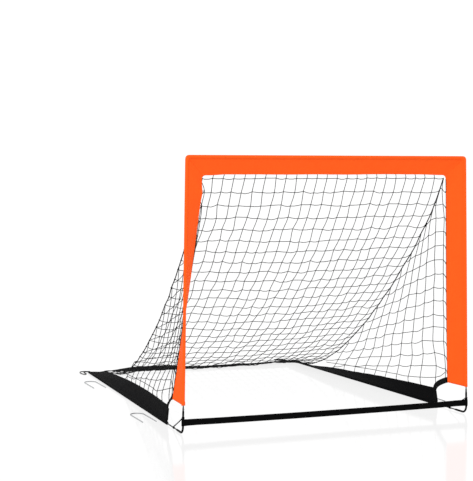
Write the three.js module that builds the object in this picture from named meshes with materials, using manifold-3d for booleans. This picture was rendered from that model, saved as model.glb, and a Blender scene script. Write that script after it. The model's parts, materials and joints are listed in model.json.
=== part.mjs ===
// Pop up goal: a folding rod hoop in orange cloth sleeves, hinged on a ground frame
// with cloth side panels, a rear band, nets, cord loops and four loose ground stakes.
// Units are millimetres. +Z is up, the mouth faces -Y and the net runs back along +Y.
import * as THREE from 'three';
import { mergeVertices } from 'three/addons/utils/BufferGeometryUtils.js';
import Module from 'manifold-3d';

const wasm = await Module();
wasm.setup();

// ---- driving dimensions ----
const HEIGHT = 915; // ground to the top of the crossbar sleeve
const BASE_HALF = 531; // half width between the rods at the ground
const TOP_HALF = 516; // half width between the rods under the crossbar
const REAR_HALF = 476; // half width between the rods at the rear corners
const DEPTH = 1422; // front rods to the rear corners
const ROD_R = 2.2;
const ELBOW_R = 3.5;
const ROD_FIT = 0.3; // clearance of a rod in its elbow, and between touching pieces
const CHANNEL_R = 3.95; // inside of a cloth channel sewn round a rod or an elbow
const SLEEVE_R = 5.2; // outside of that channel
const CLOTH = 2.4; // two layers of sewn cloth
const ROUND = 12; // sides of a round section
const CORD_SIDES = 8;

const SLEEVE_W = 72; // orange sleeve, rod side to inner edge
const CROSSBAR_TILT = 28; // degrees that the net pulls the crossbar flap back
const SLEEVE_END_Z = 98; // lower end of the post sleeves, on the rod side
const SLEEVE_RISE = 12; // the lower end rises this much to its inner edge
const TWIST_LEFT = { most: 103, power: 1 }; // degrees that a sleeve turns rearward at its lower end,
const TWIST_RIGHT = { most: 43, power: 1.3 }; // and how fast the turn dies away upward

const PANEL_W = 66; // black side panel, rod side to net edge
const PANEL_START = 188; // front edge of a side panel behind the front rods
const PANEL_SLOPE = 4; // the front edge slopes back this much to its top
const PANEL_LEAN_FRONT = 6; // degrees inward from upright at the front
const PANEL_LEAN_REAR = 82;
const TAPE_W = 20; // tape round the corner cut-out
const TAPE_GAP = 1; // between it and the panel's cloth
const TAPE_FOOT = 9; // its lower end, up the panel from the rod
const TAPE_KNEE = 50; // it is straight up to here
const TAPE_CORNER = 76; // and then curves about this place
const BAND_W = 68; // rear band and rear corner pockets
const STRAP_W = 21;
const STRAP_T = 1.6;
const STRAP_Z = 41;
const STRAP_LOOP_R = ELBOW_R + 0.5; // inside of the sewn loops at the strap's ends
const PIVOT_Z = 86; // the post rods turn here, on top of the corner elbows
const BALL_R = 3.5;

const SEAM_START_Y = 34; // seam between back net and side net, under the crossbar's flap
const SEAM_START_Z = 838;
const SEAM_END_Y = 1150; // it runs out on the side panel's inner edge
const SEAM_END_Z = 34;
const SEAM_POWER = 1.6; // sag of the seam
const SEAM_STEEP = 0.065; // share of its height that it loses close under the crossbar
const NET_END_Y = 1350; // the back net ends on the rear band
const NET_END_Z = 8;
const SEAM_CORD_R = 2;
const NET_T = 3; // thickness of a net's plain solid
const CORD_R = 1.9;

const STAKE_WIRE_R = 2;
const STAKE_WIDTH = 52;
const STAKE_LENGTH = 178;

const FRAME_Z = SLEEVE_R; // rods on the ground lie in the middle of their channels
const TOP_Z = HEIGHT - SLEEVE_R;
const REAR_Y = DEPTH + 5; // rear face of the corner pockets
const STRAP_FRONT = STRAP_LOOP_R + STRAP_T; // the end loops stand this far in front of the rods
const MIDDLE_Y = (REAR_Y - STRAP_FRONT) / 2; // the origin is under the middle of the frame

const SIDES = [['left', -1, TWIST_LEFT], ['right', 1, TWIST_RIGHT]];
const deg = THREE.MathUtils.degToRad;
const lerp = THREE.MathUtils.lerp;
const vec = (x, y, z) => new THREE.Vector3(x, y, z);

// ---- materials ----
const finish = (color, roughness, metalness = 0) =>
  new THREE.MeshStandardMaterial({ color, roughness, metalness });
const ORANGE_CLOTH = finish(0xfe5f21, 0.7);
const BLACK_CLOTH = finish(0x17181a, 0.8);
const WEBBING = finish(0x0e0e10, 0.85);
const CORD = finish(0x121214, 0.8);
const NET = finish(0x26272a, 0.85);
const ROD = finish(0x18191b, 0.4);
const PAINTED_TUBE = finish(0x101012, 0.35, 0.3);
const CAP = finish(0x1c1c1e, 0.5);
const STEEL = finish(0x8d9094, 0.35, 1);

const group = new THREE.Group();
group.position.y = -MIDDLE_Y;

function add(name, geometry, material) {
  const mesh = new THREE.Mesh(geometry, material);
  mesh.name = name;
  group.add(mesh);
}

// ---- geometry helpers ----
function solidOf(geometry) {
  const bare = new THREE.BufferGeometry();
  bare.setAttribute('position', geometry.getAttribute('position').clone());
  if (geometry.index) bare.setIndex(geometry.index.clone());
  const merged = mergeVertices(bare, 1e-4);
  return new wasm.Manifold(new wasm.Mesh({
    numProp: 3,
    vertProperties: new Float32Array(merged.getAttribute('position').array),
    triVerts: new Uint32Array(merged.index.array),
  }));
}

function geometryOf(solid) {
  const mesh = solid.getMesh();
  const geometry = new THREE.BufferGeometry();
  geometry.setAttribute('position', new THREE.BufferAttribute(mesh.vertProperties, 3));
  geometry.setIndex(new THREE.BufferAttribute(mesh.triVerts, 1));
  return geometry.toNonIndexed();
}

const cut = (geometry, tool) => geometryOf(solidOf(geometry).subtract(solidOf(tool)));

// Joins the same outline at each station into one closed skin.
// place(station, u, v) gives the outline point's position there. Each four-sided patch folds along
// its shorter diagonal, so the two faces of a twisted cloth crease together.
function loft(shape, stations, place) {
  const outline = THREE.ShapeUtils.isClockWise(shape) ? shape.toReversed() : shape;
  const count = outline.length;
  const points = [];
  for (let s = 0; s < stations; s += 1) {
    for (const p of outline) points.push(place(s, p.x, p.y));
  }
  const index = [];
  for (let s = 0; s < stations - 1; s += 1) {
    for (let i = 0; i < count; i += 1) {
      const j = (i + 1) % count;
      const [a, b, c, d] = [s * count + i, s * count + j, (s + 1) * count + j, (s + 1) * count + i];
      if (points[a].distanceTo(points[c]) < points[b].distanceTo(points[d])) {
        index.push(a, b, c, a, c, d);
      } else {
        index.push(a, b, d, b, c, d);
      }
    }
  }
  const last = (stations - 1) * count;
  for (const [a, b, c] of THREE.ShapeUtils.triangulateShape(outline, [])) {
    index.push(c, b, a, last + a, last + b, last + c);
  }
  const positions = points.flatMap((p) => p.toArray());
  const geometry = new THREE.BufferGeometry();
  geometry.setAttribute('position', new THREE.Float32BufferAttribute(positions, 3));
  geometry.setIndex(volume(positions, index) < 0 ? index.reverse() : index);
  return geometry.toNonIndexed();
}

function volume(positions, index) {
  const corner = (i) => new THREE.Vector3().fromArray(positions, 3 * i);
  let sum = 0;
  for (let k = 0; k < index.length; k += 3) {
    sum += corner(index[k]).dot(corner(index[k + 1]).cross(corner(index[k + 2])));
  }
  return sum / 6;
}

function circle(radius, sides) {
  return Array.from({ length: sides }, (_, i) => {
    const angle = (2 * Math.PI * i) / sides;
    return new THREE.Vector2(radius * Math.cos(angle), radius * Math.sin(angle));
  });
}

function tube(curve, radius, steps, sides, bore = 0) {
  const shape = new THREE.Shape(circle(radius, sides));
  if (bore > 0) shape.holes.push(new THREE.Path(circle(bore, sides)));
  return new THREE.ExtrudeGeometry(shape, { extrudePath: curve, steps, bevelEnabled: false });
}

const bar = (from, to, radius, sides = ROUND) =>
  tube(new THREE.LineCurve3(from, to), radius, 1, sides);

// A straight run, a round bend about the corner and another straight run.
function bentPath(start, corner, end, radius) {
  const into = corner.clone().sub(start).normalize();
  const out = end.clone().sub(corner).normalize();
  const turn = into.angleTo(out);
  const setback = radius * Math.tan(turn / 2);
  const from = corner.clone().addScaledVector(into, -setback);
  const to = corner.clone().addScaledVector(out, setback);
  const side = out.clone().addScaledVector(into, -out.dot(into)).normalize();
  const centre = from.clone().addScaledVector(side, radius);
  const bend = new THREE.Curve();
  bend.getPoint = (t) => centre.clone()
    .addScaledVector(side, -radius * Math.cos(turn * t))
    .addScaledVector(into, radius * Math.sin(turn * t));
  const path = new THREE.CurvePath();
  path.add(new THREE.LineCurve3(start, from));
  path.add(bend);
  path.add(new THREE.LineCurve3(to, end));
  return path;
}

// A round channel with a flat flap: u runs along the flap from the rod, v across it.
function flapOutline(width, thickness) {
  const half = thickness / 2;
  const open = Math.asin(half / SLEEVE_R);
  const points = [new THREE.Vector2(width - SLEEVE_R, half)];
  for (let i = 0; i <= ROUND; i += 1) {
    const angle = open + ((2 * Math.PI - 2 * open) * i) / ROUND;
    points.push(new THREE.Vector2(SLEEVE_R * Math.cos(angle), SLEEVE_R * Math.sin(angle)));
  }
  points.push(new THREE.Vector2(width - SLEEVE_R, -half));
  return points;
}

// ---- rod lines ----
const postX = (z) => lerp(BASE_HALF, TOP_HALF, (z - FRAME_Z) / (TOP_Z - FRAME_Z));
const railX = (y) => lerp(BASE_HALF, REAR_HALF, y / DEPTH);
const onPost = (side, z) => vec(side * postX(z), 0, z);
const onRail = (side, y) => vec(side * railX(y), y, FRAME_Z);
const onCrossbar = (x) => vec(x, 0, TOP_Z);

const ELBOW_LEG = 72; // along the ground from the corner
const ELBOW_BEND = 24;
const CONNECTOR_LEG = 45;
const CONNECTOR_BEND = 12;
const BEND_STEPS = 24;
const ROD_GRIP = 22; // length of rod held inside an elbow

function elbowPath(side) {
  const top = onPost(side, PIVOT_Z - BALL_R - ROD_FIT);
  return bentPath(top, onPost(side, FRAME_Z), onRail(side, ELBOW_LEG), ELBOW_BEND);
}

function connectorPath(side) {
  const corner = onPost(side, TOP_Z);
  const along = onCrossbar(side * (TOP_HALF - CONNECTOR_LEG));
  return bentPath(onPost(side, TOP_Z - CONNECTOR_LEG), corner, along, CONNECTOR_BEND);
}

function elbow(path) {
  return tube(path, ELBOW_R, BEND_STEPS, ROUND, ROD_R + ROD_FIT);
}

// The rod with the rounded seat that it turns on, along +Y of the lathe.
function postRod(side) {
  const from = onPost(side, PIVOT_Z);
  const to = onPost(side, TOP_Z - CONNECTOR_LEG + ROD_GRIP);
  const profile = [new THREE.Vector2(0, -BALL_R)];
  const stop = Math.acos(ROD_R / BALL_R);
  for (let i = 1; i <= 5; i += 1) {
    const angle = lerp(-Math.PI / 2, stop, i / 5);
    profile.push(new THREE.Vector2(BALL_R * Math.cos(angle), BALL_R * Math.sin(angle)));
  }
  const length = from.distanceTo(to);
  profile.push(new THREE.Vector2(ROD_R, length), new THREE.Vector2(0, length));
  const lathe = new THREE.LatheGeometry(profile, ROUND);
  const turn = new THREE.Quaternion().setFromUnitVectors(vec(0, 1, 0), to.sub(from).normalize());
  return lathe.applyQuaternion(turn).translate(from.x, from.y, from.z);
}

function rodEndCap(side) {
  const [length, wall, radius, bore] = [18, 2, 3.3, ROD_R + ROD_FIT];
  const profile = [[0, 0], [radius, 0], [radius, length], [bore, length], [bore, wall], [0, wall]];
  const lathe = new THREE.LatheGeometry(profile.map(([r, h]) => new THREE.Vector2(r, h)), ROUND);
  const end = onRail(side, DEPTH - 1);
  const forward = onRail(side, 0).sub(end).normalize();
  const turn = new THREE.Quaternion().setFromUnitVectors(vec(0, 1, 0), forward);
  return lathe.applyQuaternion(turn).translate(end.x, end.y, end.z);
}

// ---- orange sleeves ----
const MITRE_GAP = 0.2;
const CONNECTOR_ROOM = [-1, 1].map((side) => tube(connectorPath(side), CHANNEL_R, BEND_STEPS, ROUND));
const ROOM_LAP = 2; // straight channels run this far into the room round a connector

function crossbarSleeve() {
  const tilt = deg(CROSSBAR_TILT);
  const down = vec(0, Math.sin(tilt), -Math.cos(tilt));
  const across = vec(0, Math.cos(tilt), Math.sin(tilt));
  const body = loft(flapOutline(SLEEVE_W, CLOTH), 2, (s, u, v) => {
    const p = onCrossbar(0).addScaledVector(down, u).addScaledVector(across, v);
    p.x = (s === 0 ? -1 : 1) * (TOP_HALF - (TOP_Z - p.z) - MITRE_GAP);
    return p;
  });
  const reach = TOP_HALF - CONNECTOR_LEG + ROOM_LAP;
  return CONNECTOR_ROOM.reduce(cut, cut(body, bar(onCrossbar(-reach), onCrossbar(reach), CHANNEL_R)));
}

// Twist of a post sleeve: none under the crossbar, most at its lower end.
function sleeveTurn(twist, z) {
  const rise = THREE.MathUtils.clamp((z - SLEEVE_END_Z) / (840 - SLEEVE_END_Z), 0, 1);
  return deg(twist.most) * (1 - rise) ** twist.power + deg(18) * rise;
}

function postSleeve(side, twist) {
  const levels = [SLEEVE_END_Z, 150, 225, 305, 390, 480, 570, 660, 750, 825, TOP_Z];
  const top = levels.length - 1;
  const body = loft(flapOutline(SLEEVE_W, CLOTH), levels.length, (s, u, v) => {
    const z = levels[s];
    const angle = sleeveTurn(twist, z);
    const inward = vec(-side * Math.cos(angle), Math.sin(angle), 0);
    const across = vec(-inward.y, inward.x, 0);
    const p = onPost(side, z).addScaledVector(inward, u).addScaledVector(across, v);
    if (s === 0) p.z += (SLEEVE_RISE * u) / SLEEVE_W;
    if (s === top) p.z -= side * (onPost(side, z).x - p.x) + MITRE_GAP;
    return p;
  });
  const end = onPost(side, TOP_Z - CONNECTOR_LEG + ROOM_LAP);
  const run = bar(onPost(side, SLEEVE_END_Z - 10), end, CHANNEL_R);
  return cut(cut(body, run), CONNECTOR_ROOM[side < 0 ? 0 : 1]);
}

// ---- ground cloth ----
const POCKET_Y = REAR_Y - BAND_W;

function panelLean(y) {
  const back = Math.max(0, (y - PANEL_START) / (POCKET_Y - PANEL_START));
  return deg(lerp(PANEL_LEAN_FRONT, PANEL_LEAN_REAR, back));
}

// Point of a side panel: y behind the front rods, u up the cloth from the rod, v through it.
function onPanel(side, y, u, v) {
  const lean = panelLean(y);
  const up = vec(-side * Math.sin(lean), 0, Math.cos(lean));
  const across = vec(Math.cos(lean), 0, side * Math.sin(lean));
  return onRail(side, y).addScaledVector(up, u).addScaledVector(across, v);
}

const panelFront = (u) => PANEL_START + (PANEL_SLOPE * u) / PANEL_W;

function sidePanel(side) {
  const steps = 12;
  const body = loft(flapOutline(PANEL_W, CLOTH), steps + 1, (s, u, v) => {
    const y = lerp(PANEL_START, POCKET_Y - ROD_FIT, s / steps);
    return onPanel(side, y, u, v);
  });
  const [low, high, deep] = [SLEEVE_R + 1, PANEL_W + 10, 10];
  const corners = [[low, -deep], [high, -deep], [high, deep], [low, deep]];
  const tapeRoom = loft(corners.map(([u, v]) => new THREE.Vector2(u, v)), 2, (s, u, v) =>
    onPanel(side, s === 0 ? PANEL_START - 20 : panelFront(u) + TAPE_W + TAPE_GAP, u, v));
  const run = bar(onRail(side, PANEL_START - 20), onRail(side, REAR_Y), CHANNEL_R);
  return cut(cut(body, run), tapeRoom);
}

// A flat corner pocket on the ground, open at its front for the rod and its end cap.
function rearPocket(side) {
  const outer = side * (REAR_HALF + SLEEVE_R);
  const inner = side * (REAR_HALF - BAND_W + SLEEVE_R);
  const outline = [
    [inner, 0], [outer, 0], [outer, 2 * SLEEVE_R],
    [outer - side * 2 * SLEEVE_R, 2 * SLEEVE_R], [outer - side * 3.6 * SLEEVE_R, CLOTH], [inner, CLOTH],
  ].map(([x, z]) => new THREE.Vector2(x, z));
  const body = loft(outline, 2, (s, x, z) => {
    const y = s === 0 ? POCKET_Y : REAR_Y;
    return vec(x + side * (railX(y) - REAR_HALF), y, z);
  });
  return cut(body, bar(onRail(side, POCKET_Y - 20), onRail(side, DEPTH - 0.5), CHANNEL_R));
}

function rearBand() {
  const half = REAR_HALF - BAND_W + SLEEVE_R - ROD_FIT;
  const slab = new THREE.BoxGeometry(2 * half, BAND_W, CLOTH, 8, 1, 1);
  return slab.translate(0, REAR_Y - BAND_W / 2, CLOTH / 2);
}

// Webbing with a sewn loop round each corner elbow.
function groundStrap() {
  const post = postX(STRAP_Z);
  const shape = new THREE.Shape();
  const open = Math.asin(STRAP_T / 2 / STRAP_FRONT);
  shape.absarc(post, 0, STRAP_FRONT, Math.PI + open, 3 * Math.PI - open, false);
  shape.absarc(-post, 0, STRAP_FRONT, open, 2 * Math.PI - open, false);
  shape.closePath();
  for (const x of [-post, post]) {
    const hole = new THREE.Path();
    hole.absarc(x, 0, STRAP_LOOP_R, 0, 2 * Math.PI, true);
    shape.holes.push(hole);
  }
  const options = { depth: STRAP_W, bevelEnabled: false, curveSegments: ROUND };
  return new THREE.ExtrudeGeometry(shape, options).translate(0, 0, STRAP_Z - STRAP_W / 2);
}

// Middle of the tape that edges the corner cut-out: up the panel's front edge, then forward to
// the inner corner of the sleeve's lower end.
function bindingPath(side, twist) {
  const onEdge = (u) => onPanel(side, panelFront(u) + TAPE_W / 2, u, 0);
  const angle = sleeveTurn(twist, SLEEVE_END_Z);
  const reach = SLEEVE_W - SLEEVE_R;
  const tip = onPost(side, SLEEVE_END_Z + SLEEVE_RISE)
    .add(vec(-side * Math.cos(angle) * reach, Math.sin(angle) * reach + 4, TAPE_W / 2 - 2));
  const path = new THREE.CurvePath();
  path.add(new THREE.LineCurve3(onEdge(TAPE_FOOT), onEdge(TAPE_KNEE)));
  path.add(new THREE.QuadraticBezierCurve3(onEdge(TAPE_KNEE), onEdge(TAPE_CORNER), tip));
  return path;
}

function cornerBinding(side, twist) {
  const path = bindingPath(side, twist);
  const half = TAPE_W / 2;
  const outline = [[-half, 0], [half, 0], [half, CLOTH], [-half, CLOTH]];
  const steps = 12;
  return loft(outline.map(([u, v]) => new THREE.Vector2(u, v)), steps + 1, (s, u, v) => {
    const along = path.getTangent(s / steps);
    const out = vec(side, 0, 0).addScaledVector(along, -side * along.x).normalize();
    const wide = along.clone().cross(out).multiplyScalar(side);
    return path.getPoint(s / steps).addScaledVector(wide, u).addScaledVector(out, v - CLOTH / 2);
  });
}

// ---- nets ----
const seamFall = (share) =>
  (1 - SEAM_STEEP) * (1 - share) ** SEAM_POWER + SEAM_STEEP * (1 - share) ** 14;
const seamShare = (y) => (y - SEAM_START_Y) / (SEAM_END_Y - SEAM_START_Y);
const seamZ = (y) => lerp(SEAM_END_Z, SEAM_START_Z, seamFall(seamShare(y)));
const seamX = (y) => lerp(TOP_HALF - SLEEVE_W + 8, REAR_HALF - BAND_W + 14, seamShare(y));

// How far down the seam it passes a height.
function seamShareAt(z) {
  let [low, high] = [0, 1];
  for (let i = 0; i < 30; i += 1) {
    const middle = (low + high) / 2;
    if (lerp(SEAM_END_Z, SEAM_START_Z, seamFall(middle)) > z) low = middle;
    else high = middle;
  }
  return low;
}

// Places along the seam, close together where it is steep.
const seamY = (t) => lerp(SEAM_START_Y, SEAM_END_Y, t ** 1.3);

function seamCord(side) {
  const points = Array.from({ length: 13 }, (_, i) => {
    const y = seamY(0.98 * i / 12);
    return vec(side * seamX(y), y, seamZ(y));
  });
  return tube(new THREE.CatmullRomCurve3(points), SEAM_CORD_R, 16, CORD_SIDES);
}

const NET_GAP = 6; // nets' plain solids stop this far from the seam cords

// The back net hangs between the seams, then lies low between the panels up to the rear band.
function backNet() {
  const rows = 12;
  const low = 2;
  const columns = 6;
  const sag = 26;
  const outline = [];
  for (let i = 0; i <= columns; i += 1) outline.push(new THREE.Vector2(lerp(-1, 1, i / columns), 0));
  for (let i = columns; i >= 0; i -= 1) outline.push(new THREE.Vector2(lerp(-1, 1, i / columns), NET_T));
  return loft(outline, rows + low + 1, (s, u, v) => {
    if (s > rows) {
      const share = (s - rows) / low;
      const y = lerp(SEAM_END_Y, NET_END_Y, share);
      return vec(u * (seamX(SEAM_END_Y) - NET_GAP), y, lerp(SEAM_END_Z, NET_END_Z, share) + v - NET_T);
    }
    const y = seamY(s / rows);
    const slope = s === rows ? -0.1 : (seamZ(y + 1) - seamZ(y - 1)) / 2;
    const normal = vec(0, slope, -1).normalize();
    const drop = sag * (1 - u * u) * Math.sin((Math.PI * s) / rows);
    const p = vec(u * (seamX(y) - NET_GAP), y, seamZ(y));
    return p.addScaledVector(normal, drop + NET_T / 2 - v);
  });
}

// The side net fills the space between the sleeve's inner edge, the seam and the panel.
function sideNet(side, twist) {
  const levels = [132, 190, 270, 370, 490, 610, 720];
  const hemDrop = 88; // the lower edge comes down this much to its rear end
  const front = (z) => {
    const angle = sleeveTurn(twist, z);
    const reach = SLEEVE_W - SLEEVE_R + NET_GAP;
    return vec(side * (postX(z) - reach * Math.cos(angle)), reach * Math.sin(angle) + 2, z);
  };
  const rear = (z) => {
    const share = seamShareAt(z);
    const y = lerp(SEAM_START_Y, SEAM_END_Y, share) - 2 * NET_GAP;
    return vec(side * (seamX(y) + NET_GAP), y, z);
  };
  const columns = 4;
  const outline = [];
  for (let i = 0; i <= columns; i += 1) outline.push(new THREE.Vector2(i / columns, 0));
  for (let i = columns; i >= 0; i -= 1) outline.push(new THREE.Vector2(i / columns, NET_T));
  return loft(outline, levels.length, (s, u, v) => {
    const p = front(levels[s]).lerp(rear(levels[s] - (s === 0 ? hemDrop : 0)), u);
    p.x += side * (v - NET_T / 2);
    return p;
  });
}

// ---- cords ----
// A cord across the inside of each front corner, from the elbow down to the side rod.
function cornerTie(side) {
  const low = onRail(side, 107).add(vec(0, 0, ROD_R + CORD_R + ROD_FIT));
  const high = onPost(side, STRAP_Z + STRAP_W / 2 + 4).add(vec(0, ELBOW_R + CORD_R + ROD_FIT, 0));
  return bar(low, high, CORD_R, CORD_SIDES);
}

// Each rear loop leaves the back of its pocket, lies on the ground and comes back to it.
// Points are from the pocket's rear corner: outward, rearward and up.
const LOOP_ROUTES = {
  left: [
    [-6, 0.4, 4], [-5, 12, 3.4], [2, 24, 2.4], [14, 31, 2.1], [28, 26, 2.1], [36, 10, 2.1],
    [39, -12, 2.1], [37, -36, 2.1], [30, -52, 2.1], [22, -44, 2.1], [21, -24, 2.1],
    [22, -4, 2.1], [16, 10, 2.1], [8, 12, 3], [4, 6, 4], [3, 0.4, 4.4],
  ],
  right: [
    [-4, 0.4, 4], [-6, 10, 3.2], [-12, 22, 2.2], [-16, 38, 2.1], [-22, 54, 2.1],
    [-34, 68, 2.1], [-50, 74, 2.1], [-60, 66, 2.1], [-56, 52, 2.1], [-44, 40, 2.1],
    [-32, 30, 2.1], [-24, 18, 2.1], [-17, 8, 3], [-15, 0.4, 4],
  ],
};

function stakeLoop(name, side) {
  const points = LOOP_ROUTES[name].map(([out, back, up]) =>
    vec(side * (REAR_HALF - 2 + out), REAR_Y + back, up));
  return tube(new THREE.CatmullRomCurve3(points), CORD_R, 2 * points.length, CORD_SIDES);
}

// ---- ground stakes ----
const STAKE_GAP = 14; // free ground between a side rod and the stake beside it
const STAKE_PLACES = { front: 250, rear: 1010 }; // ends of the legs, behind the front rods

// A wire bent to a long U with a slightly pointed bow, lying flat with its bow rearward.
function groundStake(side, start) {
  const half = STAKE_WIDTH / 2 - STAKE_WIRE_R;
  const bow = 30;
  const leg = STAKE_LENGTH - bow - STAKE_WIRE_R;
  const near = railX(start) + SLEEVE_R + STAKE_GAP + STAKE_WIRE_R;
  const point = (across, along) => vec(side * (near + half + across), start + along, STAKE_WIRE_R);
  const path = new THREE.CurvePath();
  const arm = (sign) => new THREE.CubicBezierCurve3(
    point(sign * half, leg), point(sign * half, leg + bow * 0.62),
    point(sign * half * 0.5, leg + bow), point(0, leg + bow));
  const back = new THREE.Curve();
  back.getPoint = (t) => arm(1).getPoint(1 - t);
  path.add(new THREE.LineCurve3(point(-half, 0), point(-half, leg)));
  path.add(arm(-1));
  path.add(back);
  path.add(new THREE.LineCurve3(point(half, leg), point(half, 0)));
  return tube(path, STAKE_WIRE_R, 20, CORD_SIDES);
}

// ---- assembly ----
add('crossbar_rod', bar(
  onCrossbar(CONNECTOR_LEG - ROD_GRIP - TOP_HALF), onCrossbar(TOP_HALF - CONNECTOR_LEG + ROD_GRIP),
  ROD_R), ROD);
add('crossbar_sleeve', crossbarSleeve(), ORANGE_CLOTH);
add('rear_band', rearBand(), BLACK_CLOTH);
add('front_ground_strap', groundStrap(), WEBBING);
add('back_net', backNet(), NET);

for (const [name, side, twist] of SIDES) {
  add(`side_rod_${name}`, bar(onRail(side, ELBOW_LEG - ROD_GRIP), onRail(side, DEPTH - 4), ROD_R), ROD);
  add(`rod_end_cap_${name}`, rodEndCap(side), CAP);
  add(`corner_elbow_${name}`, elbow(elbowPath(side)), PAINTED_TUBE);
  add(`post_rod_${name}`, postRod(side), ROD);
  add(`top_corner_connector_${name}`, elbow(connectorPath(side)), PAINTED_TUBE);
  add(`post_sleeve_${name}`, postSleeve(side, twist), ORANGE_CLOTH);
  add(`side_panel_${name}`, sidePanel(side), BLACK_CLOTH);
  add(`rear_corner_pocket_${name}`, rearPocket(side), BLACK_CLOTH);
  add(`corner_binding_${name}`, cornerBinding(side, twist), WEBBING);
  add(`side_net_${name}`, sideNet(side, twist), NET);
  add(`seam_cord_${name}`, seamCord(side), CORD);
  add(`corner_tie_${name}`, cornerTie(side), CORD);
  add(`stake_loop_${name}`, stakeLoop(name, side), CORD);
  for (const [place, start] of Object.entries(STAKE_PLACES)) {
    add(`ground_stake_${place}_${name}`, groundStake(side, start), STEEL);
  }
}

export default group;
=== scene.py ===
"""Folding lawn goal: cloth, nets, cords, stakes, floor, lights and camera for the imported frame.

Lengths are in metres. x is across the mouth, y is the distance behind the front rods until at()
puts it in the part's frame, and z is up. side is -1 on the left and 1 on the right.
"""
import json
import math
import random
from functools import lru_cache, partial

import bmesh
import bpy
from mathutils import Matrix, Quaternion, Vector, noise


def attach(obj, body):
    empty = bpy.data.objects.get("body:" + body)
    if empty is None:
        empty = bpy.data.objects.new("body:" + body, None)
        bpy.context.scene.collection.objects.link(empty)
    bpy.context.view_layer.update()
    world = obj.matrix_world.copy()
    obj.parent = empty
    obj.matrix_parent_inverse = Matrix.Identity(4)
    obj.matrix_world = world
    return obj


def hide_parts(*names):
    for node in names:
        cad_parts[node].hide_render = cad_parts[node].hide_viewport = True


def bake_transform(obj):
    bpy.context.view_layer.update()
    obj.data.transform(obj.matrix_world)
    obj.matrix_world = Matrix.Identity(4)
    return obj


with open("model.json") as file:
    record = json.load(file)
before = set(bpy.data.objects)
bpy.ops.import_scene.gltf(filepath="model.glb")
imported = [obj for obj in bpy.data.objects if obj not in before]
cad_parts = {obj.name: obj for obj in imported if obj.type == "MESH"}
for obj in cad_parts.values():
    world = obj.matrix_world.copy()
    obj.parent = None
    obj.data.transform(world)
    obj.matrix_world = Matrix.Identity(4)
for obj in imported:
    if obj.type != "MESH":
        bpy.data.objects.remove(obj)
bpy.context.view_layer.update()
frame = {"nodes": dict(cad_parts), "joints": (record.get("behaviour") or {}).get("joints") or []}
CHANCE = random.Random(7)

# ---- driving dimensions ----
HINGE = next(j for j in frame["joints"] if j["name"] == "hoop_fold")
FRONT_Y = HINGE["pos_m"][1]
PIVOT_Z = HINGE["pos_m"][2]
BASE_HALF = 0.531
TOP_HALF = 0.516
REAR_HALF = 0.476
DEPTH = 1.422
REAR_Y = DEPTH + 0.005
FRAME_Z = 0.0052
TOP_Z = 0.9098
ROD_R = 0.0022
ELBOW_R = 0.0035
ELBOW_BEND = 0.024
ELBOW_TOP = 0.0038  # a corner tube ends this far under the hinge
ELBOW_FOOT_Y = 0.072
CHANNEL_R = 0.0051  # outside of the cloth round a rod
STITCH = 0.0092  # from the rod to the first row of stitches

SLEEVE_REACH = 0.0668  # rod to the inner edge of a sleeve
SLEEVE_HEM = 0.008
SLEEVE_END_Z = 0.098
SLEEVE_RISE = 0.012
CROSSBAR_TILT = 28  # degrees, in the middle of the crossbar
CORNER_TILT = 23  # and at its ends
CORNER_R = 0.0125
TWIST_TOP_Z = 0.840  # a post sleeve has turned back to its least by here
TOP_TURN = 18  # degrees that it still turns there
# Degrees that each post sleeve turns rearward at its lower end, and how fast that dies away.
TWIST = {-1: (103, 1.0), 1: (43, 1.3)}

PANEL_START = 0.188
PANEL_W = 0.066
PANEL_SLOPE = 0.004  # the front edge slopes back this much to its top
PANEL_LEAN_FRONT = 6
PANEL_LEAN_REAR = 82
PANEL_REACH = 0.0608  # rod to the inner edge of a panel
PANEL_HEM = 0.0063
BAND_W = 0.068
POCKET_Y = REAR_Y - BAND_W
STRAP_Z = 0.041
STRAP_W = 0.021
STRAP_T = 0.0016

TAPE_W = 0.020
TAPE_T = 0.0040
TAPE_FOOT = 0.009  # the corner tape's lower end, up the panel from the rod
TAPE_KNEE = 0.050  # it is straight up to here
TAPE_CORNER = 0.076  # and then curves about this place
TAPE_TILT = {-1: 45, 1: 5}  # degrees that its free middle leans inward
TAPE_STRAIGHT = 8  # lengths that its straight foot is built from
TAPE_CURVED = 30  # and its curve

SEAM_START_Y = 0.034
SEAM_START_Z = 0.838
SEAM_END_Y = 1.150
SEAM_END_Z = 0.034
SEAM_POWER = 1.6
SEAM_EASE = 1.3  # takes a share of the seam's depth to about its share along the seam
SEAM_STEEP = 0.065  # share of its height that the seam loses close under the crossbar
NET_SAG = 0.026
BACK_COLUMNS = 24
BACK_ROW_GAP = 0.052
LOW_ROWS = 4  # rows of the back net between the seams' ends and the rear band
SIDE_COLUMNS = 27
SIDE_ROWS = 26
SIDE_FIRST = 0.013  # first column of a side net behind the sleeve
SIDE_COLUMN_GAP = 0.042
SIDE_ROW_GAP = 0.050
SIDE_LOW_Z = 0.118  # lowest row, at the sleeve
HEM = 0.022  # lowest row of a side net above the edge that it is sewn to
STRAND_R = 0.0012
KNOT_R = 0.0020
# Heights between which a net point's share of the hoop's turn rises.
FOLD_LOW_Z = 0.066
FOLD_HIGH_Z = 0.104

CORD_R = 0.0019
TIE_Y = 0.107  # where a corner tie meets the side rod
TIE_Z = 0.0555  # and the elbow
STAKE_R = 0.002
STAKE_WIDTH = 0.052
STAKE_LENGTH = 0.178
STAKE_BOW = 0.030  # length of its rounded end
STAKE_GAP = 0.014
STAKE_PLACES = {"front": 0.250, "rear": 1.010}

SIDES = {"left": -1, "right": 1}


# ---- numbers and points ----
def lerp(a, b, t):
    return a + (b - a) * t


def clamp(x, low=0.0, high=1.0):
    return max(low, min(high, x))


def smooth(low, high, x):
    t = clamp((x - low) / (high - low))
    return t * t * (3 - 2 * t)


def at(x, y, z):
    return Vector((x, FRONT_Y + y, z))


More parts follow.
